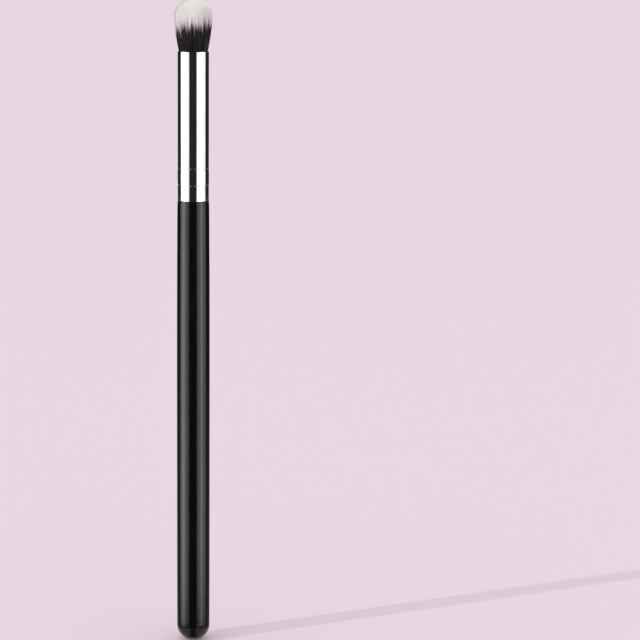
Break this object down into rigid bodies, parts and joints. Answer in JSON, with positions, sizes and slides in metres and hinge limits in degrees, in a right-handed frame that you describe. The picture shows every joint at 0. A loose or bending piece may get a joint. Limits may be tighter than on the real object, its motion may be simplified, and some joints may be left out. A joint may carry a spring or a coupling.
{
  "type": "eyeshadow brush",
  "caption": "Eyeshadow blending brush: slim black lacquered handle, bright crimped ferrule and a springy domed tuft with dark roots and white tips.",
  "frame": {"origin": "lowest point of the rounded butt, on the brush axis", "axes": "+Z along the brush from the butt to the tuft; the brush is round, so +X and +Y are any two directions across it, and the tuft leans in the XZ plane"},
  "size_m": [0.0098, 0.0098, 0.1671],
  "materials": {
    "black_lacquer": "black lacquer on turned wood, semi-gloss",
    "bright_plate": "mirror-bright plating on a drawn tube",
    "adhesive": "clear adhesive film",
    "resin": "cast resin",
    "thread": "twisted thread",
    "dark_fibre": "fine synthetic fibre, satin",
    "white_fibre": "fine synthetic fibre, satin"
  },
  "bodies": {
    "brush_body": {"handle": "black_lacquer", "ferrule": "bright_plate", "tenon_glue": "adhesive", "setting_resin": "resin", "binding_thread": "thread", "tuft_root": "dark_fibre"},
    "tuft": {"tuft_belly": "dark_fibre", "tuft_crown": "white_fibre"}
  },
  "joints": [
    {"name": "tuft_flex", "type": "hinge", "parent": "brush_body", "child": "tuft", "pos_m": [0, 0, 0.1536], "axis": [0, 1, 0], "range_deg": [-30, 30], "stiffness_Nm_per_rad": 0.01, "deforming": ["tuft_belly"]}
  ]
}
